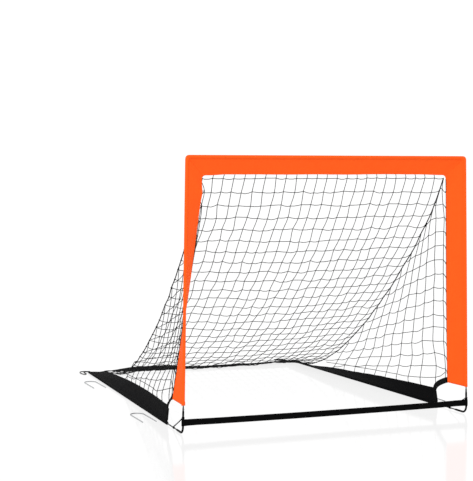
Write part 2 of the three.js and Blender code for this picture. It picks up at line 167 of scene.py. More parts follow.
def ripple(a, b, seed=0.0):
    """Gentle noise from -1 to 1 over two coordinates."""
    return noise.noise(Vector((a, b, seed)))


def post_x(z):
    return lerp(BASE_HALF, TOP_HALF, (z - FRAME_Z) / (TOP_Z - FRAME_Z))


def rail_x(y):
    return lerp(BASE_HALF, REAR_HALF, y / DEPTH)


def curve_through(points, steps):
    """A smooth line through the points, with steps pieces between neighbours."""
    line = []
    for i in range(len(points) - 1):
        a = points[max(i - 1, 0)]
        b, c = points[i], points[i + 1]
        d = points[min(i + 2, len(points) - 1)]
        for k in range(steps):
            t = k / steps
            part = b * 2 + (c - a) * t + (a * 2 - b * 5 + c * 4 - d) * t**2
            line.append((part + (b * 3 - a - c * 3 + d) * t**3) / 2)
    return line + [points[-1]]


def heading(line, i):
    """Direction of a line of points at its point i."""
    return (line[min(i + 1, len(line) - 1)] - line[max(i - 1, 0)]).normalized()


def distances(line):
    """How far along the line each of its points is."""
    run = [0.0]
    for a, b in zip(line, line[1:]):
        run.append(run[-1] + (b - a).length)
    return run


def length_of(line):
    return distances(line)[-1]


def last_true(test, low, high, halvings):
    """Closes in on the last value between low and high where the test holds."""
    for _ in range(halvings):
        middle = (low + high) / 2
        if test(middle):
            low = middle
        else:
            high = middle
    return low


def add_object(name, data):
    obj = bpy.data.objects.new(name, data)
    bpy.context.scene.collection.objects.link(obj)
    return obj


# ---- mesh building ----
class Shell:
    """Faces gathered into one mesh, with a UV in metres for every corner."""

    def __init__(self):
        self.verts = []
        self.faces = []
        self.corners = []

    def skin(self, rings, uv):
        """Closes the space between rings of points. uv(i, j) places point j of ring i."""
        base = len(self.verts)
        count = len(rings[0])
        self.verts += [p for ring in rings for p in ring]
        for i in range(len(rings) - 1):
            low, high = base + i * count, base + (i + 1) * count
            for j in range(count):
                k = (j + 1) % count
                self.faces.append((low + j, low + k, high + k, high + j))
                self.corners += [uv(i, j), uv(i, j + 1), uv(i + 1, j + 1), uv(i + 1, j)]
        top = base + (len(rings) - 1) * count
        self.faces.append(tuple(range(base + count - 1, base - 1, -1)))
        self.corners += [uv(0, j) for j in range(count - 1, -1, -1)]
        self.faces.append(tuple(range(top, top + count)))
        self.corners += [uv(len(rings) - 1, j) for j in range(count)]

    def tube(self, points, radius, sides=8):
        """A round tube along the points. radius is a number or one number for each point."""
        radii = radius if isinstance(radius, list) else [radius] * len(points)
        turns = [2 * math.pi * j / sides for j in range(sides)]
        across, rings, run = None, [], distances(points)
        for i, point in enumerate(points):
            along = heading(points, i)
            if across is None:
                across = along.orthogonal()
            across = (across - along * across.dot(along)).normalized()
            up = along.cross(across)
            outward = [across * math.cos(a) + up * math.sin(a) for a in turns]
            rings.append([point + out * radii[i] for out in outward])
        self.skin(rings, lambda i, j: (2 * math.pi * radii[i] * j / sides, run[i]))

    def bead(self, centre, radius, stretch=Vector((1, 1, 1))):
        """A small knot: a faceted ball, stretched along the axes."""
        rings = []
        for k in range(1, 4):
            polar = math.pi * k / 4
            ring = []
            for j in range(6):
                turn = math.pi * (2 * j + k) / 6
                wide = math.sin(polar)
                out = Vector((wide * math.cos(turn), wide * math.sin(turn), math.cos(polar)))
                ring.append(centre + out * stretch * radius)
            rings.append(ring)
        self.skin(rings, lambda i, j: (radius * j, radius * i))

    def piece(self, name, material):
        mesh = bpy.data.meshes.new(name)
        mesh.from_pydata([tuple(v) for v in self.verts], [], self.faces)
        layer = mesh.uv_layers.new(name="UVMap")
        for loop, uv in enumerate(self.corners):
            layer.data[loop].uv = uv
        tidy = bmesh.new()
        tidy.from_mesh(mesh)
        bmesh.ops.recalc_face_normals(tidy, faces=tidy.faces)
        tidy.to_mesh(mesh)
        tidy.free()
        mesh.shade_smooth()
        mesh.materials.append(material)
        return add_object(name, mesh)


# ---- materials ----
class Finish:
    """A principled material and the few nodes that its patterns need."""

    def __init__(self, name, color, roughness, specular=0.3, metallic=0.0):
        self.material = bpy.data.materials.new(name)
        self.material.use_nodes = True
        self.tree = self.material.node_tree
        self.shader = self.tree.nodes["Principled BSDF"]
        self.color = color
        self.set("Base Color", (*color, 1))
        self.set("Roughness", roughness)
        self.set("Specular IOR Level", specular)
        self.set("Metallic", metallic)

    def set(self, socket, value):
        self.shader.inputs[socket].default_value = value

    def node(self, kind, inputs=(), **settings):
        made = self.tree.nodes.new("ShaderNode" + kind)
        for key, value in settings.items():
            setattr(made, key, value)
        for key, value in dict(inputs).items():
            if isinstance(value, bpy.types.NodeSocket):
                self.tree.links.new(value, made.inputs[key])
            else:
                made.inputs[key].default_value = value
        return made

    def math(self, operation, a, b=0.0, c=0.0):
        inputs = {0: a, 1: b}
        if operation in ("MULTIPLY_ADD", "COMPARE"):
            inputs[2] = c
        return self.node("Math", inputs, operation=operation).outputs[0]

    def uv(self):
        """The place on the piece's UV map, and its parts across and along, in metres."""
        place = self.node("UVMap", uv_map="UVMap").outputs[0]
        split = self.node("SeparateXYZ", {0: place})
        return place, split.outputs[0], split.outputs[1]

    def place(self):
        return self.node("TexCoord").outputs["Object"]

    def speckle(self, where, scale, detail=3.0):
        inputs = {"Vector": where, "Scale": scale, "Detail": detail}
        return self.node("TexNoise", inputs).outputs["Fac"]

    def mix(self, amount, low, high):
        """Base colour from low to high. Sockets 6, 7 and 2 are the node's colours and result."""
        inputs = {0: amount, 6: low, 7: high}
        mixed = self.node("Mix", inputs, data_type="RGBA").outputs[2]
        self.tree.links.new(mixed, self.shader.inputs["Base Color"])
        return mixed

    def tint(self, amount, low, high):
        """Lets the colour run from low to high times its own value."""
        ends = [(*(c * k for c in self.color), 1) for k in (low, high)]
        return self.mix(amount, *ends)

    def rough(self, amount, low, high):
        inputs = {"Value": amount, "To Min": low, "To Max": high}
        spread = self.node("MapRange", inputs).outputs[0]
        self.tree.links.new(spread, self.shader.inputs["Roughness"])

    def bump(self, height, strength, distance):
        inputs = {"Strength": strength, "Distance": distance, "Height": height}
        bump = self.node("Bump", inputs)
        self.tree.links.new(bump.outputs[0], self.shader.inputs["Normal"])

    def threads(self, across, along, pitch):
        """Plain weave: raised warp and weft threads that pass over each other."""
        turns = 2 * math.pi / pitch
        warp = self.math("SINE", self.math("MULTIPLY", across, turns))
        weft = self.math("SINE", self.math("MULTIPLY", along, turns))
        return self.math("MULTIPLY_ADD", self.math("MULTIPLY", warp, weft), 0.5, 0.5)

    def stitch(self, across, along, line, pitch=0.0042, width=0.0005):
        """Mask of a row of lockstitches at across = line."""
        near = self.math("COMPARE", across, line, width)
        share = self.math("FRACT", self.math("DIVIDE", along, pitch))
        return self.math("MULTIPLY", near, self.math("LESS_THAN", share, 0.68))


def cloth_finish(name, color, thread, hem_line, specular, roughness):
    """Coated woven polyester, stitched beside the rod and along the hem."""
    made = Finish(name, color, roughness, specular)
    place, across, along = made.uv()
    weave = made.threads(across, along, 0.0011)
    mottle = made.speckle(place, 26.0, 4.0)
    blend = made.math("MULTIPLY_ADD", weave, 0.35, made.math("MULTIPLY", mottle, 0.65))
    base = made.tint(blend, 0.90, 1.08)
    rows = [made.stitch(across, along, line) for line in (STITCH, hem_line)]
    seams = made.math("MAXIMUM", *rows)
    made.mix(seams, base, (*thread, 1))
    creases = made.speckle(place, 60.0, 5.0)
    made.rough(creases, roughness - 0.08, roughness + 0.1)
    height = made.math("MULTIPLY_ADD", creases, 0.5, made.math("MULTIPLY", weave, 0.35))
    made.bump(made.math("MULTIPLY_ADD", seams, 0.9, height), 0.35, 0.0006)
    return made.material


def orange_cloth():
    color, thread = (0.95, 0.103, 0.0085), (0.80, 0.08, 0.008)
    return cloth_finish("orange_cloth", color, thread, 0.0585, specular=0.11, roughness=0.72)


def black_cloth():
    color, thread = (0.0019, 0.0019, 0.0023), (0.006, 0.006, 0.007)
    return cloth_finish("black_cloth", color, thread, 0.0545, specular=0.032, roughness=0.75)


def webbing():
    """Ribbed polypropylene tape: ribs run along it, threads cross them."""
    made = Finish("webbing", (0.0020, 0.0020, 0.0022), roughness=0.82, specular=0.04)
    place, across, along = made.uv()
    ribs = made.math("SINE", made.math("MULTIPLY", across, 2 * math.pi / 0.0024))
    picks = made.math("SINE", made.math("MULTIPLY", along, 2 * math.pi / 0.0013))
    height = made.math("MULTIPLY_ADD", picks, 0.4, ribs)
    made.tint(made.speckle(place, 90.0), 0.75, 1.3)
    made.bump(height, 0.5, 0.0004)
    return made.material


def braided(name, color, turn, pitch):
    """Twisted or braided cord: slanted strands from the UV round and along it."""
    made = Finish(name, color, roughness=0.8, specular=0.08)
    _, across, along = made.uv()
    lean = made.math("MULTIPLY_ADD", across, turn, along)
    lay = made.math("SINE", made.math("MULTIPLY", lean, 2 * math.pi / pitch))
    made.tint(made.math("MULTIPLY_ADD", lay, 0.5, 0.5), 0.7, 1.35)
    made.bump(lay, 0.6, 0.0004)
    return made.material


def rod_finish():
    """Pultruded glass fibre: fine streaks along the rod under a dark resin."""
    made = Finish("glass_fibre_rod", (0.010, 0.010, 0.011), roughness=0.38, specular=0.4)
    place = made.place()
    streaks = made.speckle(place, 900.0, 2.0)
    made.tint(streaks, 0.7, 1.5)
    made.rough(made.speckle(place, 40.0), 0.3, 0.5)
    made.bump(streaks, 0.15, 0.0002)
    return made.material


def painted_finish():
    """Powder coat: a fine orange peel and slightly rubbed patches."""
    made = Finish("painted_tube", (0.0018, 0.0018, 0.002), roughness=0.42, specular=0.02)
    place = made.place()
    made.tint(made.speckle(place, 30.0), 0.75, 1.4)
    made.rough(made.speckle(place, 60.0), 0.32, 0.52)
    made.bump(made.speckle(place, 1400.0, 1.0), 0.2, 0.0002)
    return made.material


def cap_finish():
    made = Finish("vinyl_cap", (0.011, 0.011, 0.012), roughness=0.55, specular=0.3)
    place = made.place()
    made.tint(made.speckle(place, 120.0), 0.8, 1.25)
    made.bump(made.speckle(place, 700.0, 2.0), 0.2, 0.0002)
    return made.material


def steel_finish():
    """Drawn galvanised wire: bright, with dull spangle and draw lines."""
    made = Finish("stake_steel", (0.42, 0.43, 0.44), roughness=0.35, specular=0.5, metallic=1.0)
    across = made.uv()[1]
    spangle = made.speckle(made.place(), 160.0, 4.0)
    made.tint(spangle, 0.75, 1.15)
    made.rough(spangle, 0.26, 0.46)
    lines = made.math("SINE", made.math("MULTIPLY", across, 2 * math.pi / 0.0008))
    made.bump(lines, 0.12, 0.0002)
    return made.material


def floor_finish():
    """Plain white that mirrors the same small share of the light at every angle."""
    made = Finish("floor", (0.05, 0.05, 0.05), roughness=0.9, specular=0.0)
    made.set("Emission Color", (1, 1, 1, 1))
    made.set("Emission Strength", 0.84)
    mirror = made.node("BsdfGlossy", {"Color": (0.13, 0.13, 0.13, 1), "Roughness": 0.10})
    both = made.node("AddShader", {0: made.shader.outputs[0], 1: mirror.outputs[0]})
    made.tree.links.new(both.outputs[0], made.tree.nodes["Material Output"].inputs[0])
    return made.material


def riding_piece(shell, name, material, body, node):
    """Makes the shell a piece that rides on the body and stands for the CAD node."""
    piece = shell.piece(name, material)
    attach(piece, body)
    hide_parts(node)
    return piece


# ---- cloth channels with a flap ----
def flap_section(reach, hem):
    """Outline of cloth sewn round a rod, with a double flap that ends in a hem.

    Each point is (u, v): u from the rod along the flap, v through its thickness.
    """
    hem_line = reach - hem
    edge = [(0.0060, 0.0021), (0.0074, 0.0014), (STITCH, 0.0008), (0.0112, 0.0012)]
    edge += [(lerp(0.014, hem_line - 0.003, k / 6), 0.0011) for k in range(7)]
    edge += [(hem_line - 0.001, 0.0009), (hem_line, 0.0008), (hem_line + 0.001, 0.0013)]
    edge += [(reach - 0.003, 0.0014), (reach - 0.0006, 0.0011)]
    round_rod = []
    for k in range(1, 12):
        turn = lerp(math.radians(28), math.radians(332), k / 12)
        round_rod.append((CHANNEL_R * math.cos(turn), CHANNEL_R * math.sin(turn)))
    upper = edge[::-1]
    lower = [(u, -v) for u, v in edge]
    return [(reach, 0.0)] + upper + round_rod + lower


def loft_cloth(section, stations, place, along):
    """place(s, u, v) puts an outline point; along(s) is the distance of that station."""
    shell = Shell()
    rings = [[place(s, u, v) for u, v in section] for s in stations]
    count = len(section)
    shell.skin(rings, lambda i, j: (section[j % count][0], along(stations[i])))
    return shell


def sleeve_turn(side, z):
    """Angle of a post sleeve in degrees: most at its lower end, little at the top."""
    rise = clamp((z - SLEEVE_END_Z) / (TWIST_TOP_Z - SLEEVE_END_Z))
    most, power = TWIST[side]
    turned = most * (1 - rise) ** power + TOP_TURN * rise
    return lerp(turned, CORNER_TILT, smooth(0.78, TOP_Z - CORNER_R, z))


def sleeve_axes(side, z):
    """Direction along a post sleeve's flap, away from the rod, and the one behind its face."""
    angle = math.radians(sleeve_turn(side, z))
    inward = Vector((-side * math.cos(angle), math.sin(angle), 0))
    return inward, Vector((side * math.sin(angle), math.cos(angle), 0))


def corner_point(side, turn, u, v):
    """Point of the rounded corner; turn is 0 where the post ends and 90 where the bar begins."""
    tilt, angle = math.radians(CORNER_TILT), math.radians(turn)
    lean = math.sin(tilt)
    x = side * (TOP_HALF - u * math.cos(tilt) - CORNER_R * (1 - math.cos(angle)))
    z = TOP_Z - u * math.cos(tilt) - CORNER_R * (1 - math.sin(angle))
    rear = Vector((side * lean * math.cos(angle), math.cos(tilt), lean * math.sin(angle)))
    return at(x, u * lean, z) + rear.normalized() * v


def sleeve_wave(u, run, seed):
    """How far a flap stands off its plane: nothing at the rod, most at the free edge."""
    free = clamp(u / SLEEVE_REACH) ** 1.6
    broad = 0.0022 * ripple(run * 7, u * 8, seed)
    small = 0.0007 * ripple(run * 38, u * 30, seed + 5)
    pucker = 0.0003 * math.exp(-(((u - STITCH) / 0.006) ** 2)) * ripple(run * 160, 0, seed)
    return free * (broad + small) + pucker


def sleeve_edge(side, z):
    """Inner edge of a post sleeve at a height, and the direction behind its face."""
    inward, rear = sleeve_axes(side, z)
    return at(side * post_x(z), 0, z) + inward * SLEEVE_REACH, rear


def post_sleeve(name, side):
    straight, bend = 96, 6
    top = TOP_Z - CORNER_R
    tilt = math.radians(CORNER_TILT)

    def place(s, u, v):
        if s > straight:
            return corner_point(side, 45 * (s - straight) / bend, u, v)
        share = s / straight
        z = lerp(SLEEVE_END_Z, top, share)
        inward, rear = sleeve_axes(side, z)
        flap = max(u, 0.0)
        slope = SLEEVE_RISE * flap / SLEEVE_REACH * (1 - share) ** 6
        drop = flap * math.cos(tilt) * smooth(0.80, 1.0, share)
        wave = sleeve_wave(u, z, side) * smooth(0, 0.03, share) * (1 - smooth(0.93, 1, share))
        hem = 1.35 if s < 2 else 1.0
        point = at(side * post_x(z), 0, z + slope - drop)
        return point + inward * u + rear * (v * hem + wave)

    def along(s):
        return 0.004 + (TOP_Z - SLEEVE_END_Z) * min(s / straight, 1) + 0.0016 * max(s - straight, 0)

    section = flap_section(SLEEVE_REACH, SLEEVE_HEM)
    shell = loft_cloth(section, range(straight + bend + 1), place, along)
    piece = riding_piece(shell, f"sleeve_{name}", ORANGE, "hoop", f"post_sleeve_{name}")


def crossbar_sleeve():
    straight, bend = 110, 6
    reach = TOP_HALF - CORNER_R
    tilt_end = math.radians(CORNER_TILT)

    def place(s, u, v):
        if s < bend:
            return corner_point(-1, 45 + 45 * s / bend, u, v)
        if s > bend + straight:
            return corner_point(1, 90 - 45 * (s - bend - straight) / bend, u, v)
        share = (s - bend) / straight
        middle = smooth(0, 0.14, share) * smooth(0, 0.14, 1 - share)
        tilt = math.radians(lerp(CORNER_TILT, CROSSBAR_TILT, middle))
        flap = max(u, 0.0)
        pull = flap * math.cos(tilt_end) * (smooth(0.82, 1, share) - smooth(0.82, 1, 1 - share))
        wave = sleeve_wave(u, lerp(-reach, reach, share), 9) * smooth(0, 0.05, share)
        wave *= smooth(0, 0.05, 1 - share)
        point = at(lerp(-reach, reach, share) - pull, 0, TOP_Z)
        down = Vector((0, math.sin(tilt), -math.cos(tilt)))
        rear = Vector((0, math.cos(tilt), math.sin(tilt)))
        return point + down * u + rear * (v + wave)

    def along(s):
        return 0.004 + 2 * TOP_HALF * clamp((s - bend) / straight)

    section = flap_section(SLEEVE_REACH, SLEEVE_HEM)
    shell = loft_cloth(section, range(2 * bend + straight + 1), place, along)
    piece = riding_piece(shell, "sleeve_crossbar", ORANGE, "hoop", "crossbar_sleeve")


def panel_lean(y):
    back = clamp((y - PANEL_START) / (POCKET_Y - PANEL_START))
    return lerp(PANEL_LEAN_FRONT, PANEL_LEAN_REAR, back)


def panel_edge(side, y):
    """Upper edge of a side panel, where the side net is sewn on."""
    lean = math.radians(panel_lean(y))
    x = side * (rail_x(y) - PANEL_REACH * math.sin(lean))
    return at(x, y, FRAME_Z + PANEL_REACH * math.cos(lean))


def ground_flap(side, y, u, v, degrees, wave):
    """Point of a panel or pocket that leans inward by so many degrees."""
    lean = math.radians(degrees)
    up = Vector((-side * math.sin(lean), 0, math.cos(lean)))
    out = Vector((side * math.cos(lean), 0, math.sin(lean)))
    return at(side * rail_x(y), y, FRAME_Z) + up * u + out * (v + wave)


def panel_front(u):
    """Front edge of the tape on a side panel, at a distance u up the cloth."""
    return PANEL_START + PANEL_SLOPE * u / PANEL_W


def side_panel(name, side):
    """The channel starts level with the tape; the flap starts behind it."""
    steps = 160

    def place(s, u, v):
        share = s / steps
        y = lerp(PANEL_START, POCKET_Y, share)
        taped = panel_front(u) + TAPE_W - 0.003 - PANEL_START if u > 0.0075 else 0
        taped -= 0.5 * max(u - TAPE_KNEE, 0)
        y += taped * (1 - share) ** 14
        free = clamp(u / PANEL_REACH) ** 1.5 * smooth(0, 0.06, share)
        broad = 0.0035 * ripple(y * 5, u * 9, side + 3)
        small = 0.0012 * ripple(y * 24, u * 30, side)
        return ground_flap(side, y, u, v, panel_lean(y), free * (broad + small))

    def along(s):
        return lerp(PANEL_START, POCKET_Y, s / steps)

    shell = loft_cloth(flap_section(PANEL_REACH, PANEL_HEM), range(steps + 1), place, along)
    piece = riding_piece(shell, f"panel_{name}", BLACK, "ground_frame", f"side_panel_{name}")


def rear_pocket(name, side):
    """The panel's cloth goes on flat round the end of the side rod and is folded shut behind it."""
    steps = 20

    def place(s, u, v):
        share = s / steps
        y = lerp(POCKET_Y, REAR_Y - 0.001, share)
        lean = lerp(PANEL_LEAN_REAR, 93.5, smooth(0, 0.8, share))
        shut = 1 - 0.75 * smooth(0.86, 1.0, share)
        wave = 0.0006 * ripple(y * 60, u * 50, side) * clamp(u / PANEL_REACH)
        rounded = 0.0036 * smooth(0.8, 1.0, share) if u < 0 else 0
        return ground_flap(side, y, u + rounded, v * shut, lean, wave)

    def along(s):
        return 0.002 + BAND_W * s / steps

    shell = loft_cloth(flap_section(PANEL_REACH, PANEL_HEM), range(steps + 1), place, along)
    piece = riding_piece(shell, f"pocket_{name}", BLACK, "ground_frame", f"rear_corner_pocket_{name}")


def band_height(x, across):
    """Height of the rear band: its front edge lifts at both corners, its rear hem on the left."""
    half = REAR_HALF - PANEL_REACH
    corner = smooth(0.10, half, x) + smooth(0.29, half, -x)
    hem = 0.012 * smooth(-0.02, 0.16, -x) * smooth(half, half - 0.16, -x)
    lift = lerp(0.004, 0.0125, corner) * (1 - across) ** 1.3 + hem * across**1.2
    wave = 0.0022 * (ripple(x * 9, across * 2, 4) + 0.6) + 0.0007 * ripple(x * 40, across * 5, 8)
    return 0.0016 + lift + wave * lerp(1.0, 0.5, across)


def rear_band():
    """Double cloth across the back, lying loosely on the ground."""
    steps, half = 150, REAR_HALF - PANEL_REACH
    upper = [(k / 14, 0.0011) for k in range(15)]
    section = upper + [(share, -v) for share, v in reversed(upper)]

    def place(s, share, v):
        x = lerp(-half, half, s / steps)
        hem = 1.3 if share < 0.10 or share > 0.90 else 1.0
        wander = 0.003 * ripple(x * 5, 0, 2) * (1 - share)
        y = POCKET_Y + wander + (BAND_W - 0.001) * share
        return at(x, y, band_height(x, share) + v * hem)

    shell = Shell()
    rings = [[place(s, share, v) for share, v in section] for s in range(steps + 1)]
    shell.skin(rings, lambda i, j: (0.066 * section[j % len(section)][0], 2 * half * i / steps))
    piece = riding_piece(shell, "band_rear", BLACK, "ground_frame", "rear_band")


# ---- tapes ----
def ribbon(shell, line, wide, thick, faces):
    """A flat tape along the points, with the direction out of it at each."""
    upper = [(-0.5, 0.5), (-0.48, 0.9), (-0.2, 1), (0.2, 1), (0.48, 0.9), (0.5, 0.5)]
    section = upper + [(-a, -b) for a, b in upper]
    rings, run = [], distances(line)
    for i, point in enumerate(line):
        along = heading(line, i)
        normal = (faces[i] - along * faces[i].dot(along)).normalized()
        across = along.cross(normal)
        rings.append([point + across * wide * a + normal * thick / 2 * b for a, b in section])
    shell.skin(rings, lambda i, j: (wide * (section[j % len(section)][0] + 0.5), run[i]))


def ground_strap():
    """Flat webbing across the mouth, folded round each corner tube and sewn to itself."""
    post = post_x(STRAP_Z)
    wrap = ELBOW_R + 0.0013
    end = []
    for out, back in ((0.052, 0.0019), (0.034, 0.0019), (0.016, 0.0023), (0.007, 0.0036)):
        end.append((post - out, back))
    for k in range(9):
        turn = math.radians(lerp(118, -118, k / 8))
        end.append((post + wrap * math.cos(turn), wrap * math.sin(turn)))
    for out, back in ((0.007, -0.0034), (0.016, -0.0014), (0.034, 0.0), (0.060, 0.0)):
        end.append((post - out, back))
    path = [Vector((-x, y, 0)) for x, y in end]
    middle = [Vector((lerp(-0.44, 0.44, k / 22), 0, 0)) for k in range(23)]
    path += middle + [Vector((x, y, 0)) for x, y in reversed(end)]
    line = []
    for p in curve_through(path, 3):
        free = smooth(0.03, 0.12, post - abs(p.x))
        bow = 0.0012 * ripple(p.x * 4, 1, 3) * free
        line.append(at(p.x, p.y + bow, STRAP_Z - 0.0022 * free * (1 - (p.x / post) ** 2)))
    faces = [heading(line, i).cross(Vector((0, 0, 1))) for i in range(len(line))]
    shell = Shell()
    ribbon(shell, line, STRAP_W, STRAP_T * 0.85, faces)
    piece = riding_piece(shell, "strap_front", WEBBING, "ground_frame", "front_ground_strap")


def binding_line(side):
    """Middle of the tape round the corner cut-out, from its foot on the panel to the sleeve."""

    def on_edge(u):
        y = panel_front(u) + TAPE_W / 2
        return ground_flap(side, y, u, 0, panel_lean(y), 0)

    corner = SLEEVE_END_Z + SLEEVE_RISE
    tip = at(side * post_x(corner), 0.004, corner + TAPE_W / 2 - 0.002)
    tip += sleeve_axes(side, SLEEVE_END_Z)[0] * SLEEVE_REACH
    knee, bend = on_edge(TAPE_KNEE), on_edge(TAPE_CORNER)
    foot = [lerp(TAPE_FOOT, TAPE_KNEE, k / TAPE_STRAIGHT) for k in range(TAPE_STRAIGHT)]
    line = [on_edge(u) for u in foot]
    for k in range(TAPE_CURVED + 1):
        t = k / TAPE_CURVED
        line.append(knee * (1 - t) ** 2 + bend * 2 * t * (1 - t) + tip * t**2)
    return line


def binding_faces(side, line):
    """Direction out of the tape at each point; its free middle leans inward."""
    faces = []
    for i in range(len(line)):
        along = heading(line, i)
        out = (Vector((side, 0, 0)) - along * side * along.x).normalized()
        free = math.sin(math.pi * clamp((i - TAPE_STRAIGHT) / TAPE_CURVED)) ** 0.7
        turn = Quaternion(along, side * math.radians(TAPE_TILT[side]) * free)
        faces.append(turn @ out)
    return faces


@lru_cache
def tape_top(side):
    """Rear and upper edge of the tape, from the panel's upper edge to the sleeve."""
    line = binding_line(side)
    faces = binding_faces(side, line)
    edge = []
    for i in range(TAPE_STRAIGHT, len(line)):
        edge.append(line[i] + heading(line, i).cross(faces[i]) * side * (TAPE_W / 2 - 0.0015))
    rim = panel_edge(side, panel_front(PANEL_REACH) + TAPE_W)
    return [rim] + [p for p in edge if p.z > rim.z]


def corner_binding(name, side):
    """Tape along the cut-out, from its foot on the panel up to the sleeve."""
    line = binding_line(side)
    faces = binding_faces(side, line)
    shell = Shell()
    ribbon(shell, line, TAPE_W, TAPE_T, faces)
    piece = shell.piece(f"tape_{name}", WEBBING)
    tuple(line[0])
    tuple(line[-1])
    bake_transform(piece)
    count = len(piece.data.vertices)
    ring_of = [i * len(line) // count for i in range(count)]
    [smooth(TAPE_STRAIGHT, len(line) - 3, ring) for ring in ring_of]
    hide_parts(f"corner_binding_{name}")
    length_of(line)


# ---- share of the hoop's turn at net points ----
def fan_share(point):
    """Share of the hoop's turn that a net point takes, from its angle about the hinge."""
    y, rise = point.y - FRONT_Y, point.z - PIVOT_Z
    angle = math.degrees(math.atan2(max(rise, 0), max(y, 0.001)))
    top = math.degrees(math.atan2(SEAM_START_Z - PIVOT_Z, SEAM_START_Y))
    lifted = smooth(FOLD_LOW_Z, FOLD_HIGH_Z, point.z)
    return clamp(angle / 90 + (1 - seam_down(y)) * (1 - top / 90) * lifted)


def side_share(side, point):
    """The fan's share, rising to the whole turn where the net is tied to the sleeve."""
    y, z = point.y - FRONT_Y, point.z
    fan = fan_share(point)
    edge = sleeve_edge(side, max(z, SLEEVE_END_Z))[0].y - FRONT_Y
    behind = clamp((y - edge) / max(seam_y_at(z) - edge, 0.001))
    return (fan + (1 - fan) * (1 - behind) ** 3) * smooth(FOLD_LOW_Z, FOLD_HIGH_Z, z)


def folding_piece(shell, name, material, node, share_of):
    """Makes the shell a piece in world space in place of the CAD node."""
    piece = shell.piece(name, material)
    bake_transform(piece)
    [share_of(v.co) for v in piece.data.vertices]
    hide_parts(node)


# ---- nets ----
def seam_share(y):
    return clamp((y - SEAM_START_Y) / (SEAM_END_Y - SEAM_START_Y))


def seam_down(y):
    """About how far along the seam a distance y lies: 0 at the crossbar, 1 at the panel."""
    return seam_share(y) ** (1 / SEAM_EASE)


def seam_z(y):
    left = 1 - seam_share(y)
    fall = (1 - SEAM_STEEP) * left**SEAM_POWER + SEAM_STEEP * left**14
    return lerp(SEAM_END_Z, SEAM_START_Z, fall)


def seam_x(y):
    """Half the back net's width: along the seam, then between the panels' edges."""
    share = seam_share(y)
    on_seam = lerp(TOP_HALF - 0.064, REAR_HALF - BAND_W + 0.014, share)
    on_panel = panel_edge(1, max(y, SEAM_END_Y)).x
    return lerp(on_seam, on_panel, smooth(0.9, 1.0, share))


def seam_y_at(z):
    return last_true(lambda y: seam_z(y) > z, SEAM_START_Y, SEAM_END_Y, 20)


def seam_point(side, y):
    return at(side * seam_x(y), y, seam_z(y))


def seam_stops(spacing):
    """Distances y down the seam, evenly spaced along its length."""
    fine = [lerp(SEAM_START_Y, SEAM_END_Y, (k / 600) ** SEAM_EASE) for k in range(601)]
    total = length_of([seam_point(1, y) for y in fine])
    count = round(total / spacing)
    stops, run = [fine[0]], 0.0
    for a, b in zip(fine, fine[1:]):
        run += (seam_point(1, b) - seam_point(1, a)).length
        if run >= total / count * len(stops) - 1e-6 and len(stops) < count:
            stops.append(b)
    return stops + [fine[-1]]


def strand(shell, knots, slack):
    """Twine through its knots; each length between two knots hangs a little."""
    if len(knots) < 2:
        return
    line = []
    for i, p in enumerate(curve_through(knots, 3)):
        share = (i % 3) / 3
        line.append(p - Vector((0, 0, slack[i // 3] * math.sin(math.pi * share))))
    shell.tube(line, STRAND_R, 5)


def slacks(count, most):
    return [CHANCE.uniform(0, most) for _ in range(count + 1)]


def jitter(point, most):
    shift = [CHANCE.uniform(-most, most) for _ in range(3)]
    return point + Vector((shift[0], shift[1], shift[2]))


def back_surface(share, y):
    """Point of the back net; share runs from -1 at the left seam to 1 at the right."""
    half = seam_x(y)
    rear = (seam_z(y + 0.001) - seam_z(y - 0.001)) / 0.002
    normal = Vector((0, rear, -1)).normalized()
    down = seam_down(y)
    sag = NET_SAG * (1 - share**2) * math.sin(math.pi * down)
    gap = (1 - abs(share)) * half
    hang = 0.010 * math.exp(-(((gap - 0.050) / 0.024) ** 2)) * smooth(0, 0.1, down)
    hang *= smooth(0, 0.1, 1 - down)
    low = clamp((y - SEAM_END_Y) / (POCKET_Y - SEAM_END_Y))
    edge = lerp(seam_z(y), 0.010, low)
    taut = band_height(share * half, 0) + 0.0012 + 0.155 * (POCKET_Y - y)
    z = lerp(max(edge, taut), edge, smooth(0.75, 1.0, abs(share)))
    return at(share * half, y, z) + normal * (sag + hang) * (1 - smooth(0.75, 0.95, down))


def back_net(stops):
    """Hangs between the seams, then lies low between the panels up to the rear band."""
    low = [lerp(SEAM_END_Y, POCKET_Y - 0.008, (k + 1) / LOW_ROWS) for k in range(LOW_ROWS)]
    shell = Shell()
    grid = []
    for r, y in enumerate(stops + low):
        loose = 0.0035 if 0 < r < len(stops) - 2 else 0.001
        row = []
        for c in range(BACK_COLUMNS + 1):
            point = back_surface(-1 + 2 * c / BACK_COLUMNS, y)
            row.append(jitter(point, loose) if 0 < c < BACK_COLUMNS else point)
        grid.append(row)
    for row in grid:
        strand(shell, row, slacks(BACK_COLUMNS, 0.004))
        for point in row[1:-1]:
            shell.bead(point, KNOT_R)
    tilt = math.radians(CROSSBAR_TILT)
    sewn_y = SLEEVE_REACH * math.sin(tilt)
    sewn_z = TOP_Z - SLEEVE_REACH * math.cos(tilt)
    for c in range(BACK_COLUMNS + 1):
        x = lerp(-1, 1, c / BACK_COLUMNS) * (TOP_HALF - SLEEVE_REACH - 0.002)
        top = at(x, sewn_y + 0.0015, sewn_z + 0.002)
        foot_x = grid[-1][c].x
        foot = at(foot_x, POCKET_Y + 0.006, band_height(foot_x, 0.09))
        line = [top] + [row[c] for row in grid] + [foot]
        if 0 < c < BACK_COLUMNS:
            strand(shell, line, slacks(len(line), 0.002))
        shell.bead(top, KNOT_R)
        shell.bead(foot, KNOT_R)
    folding_piece(shell, "net_back", NET, "back_net", fan_share)


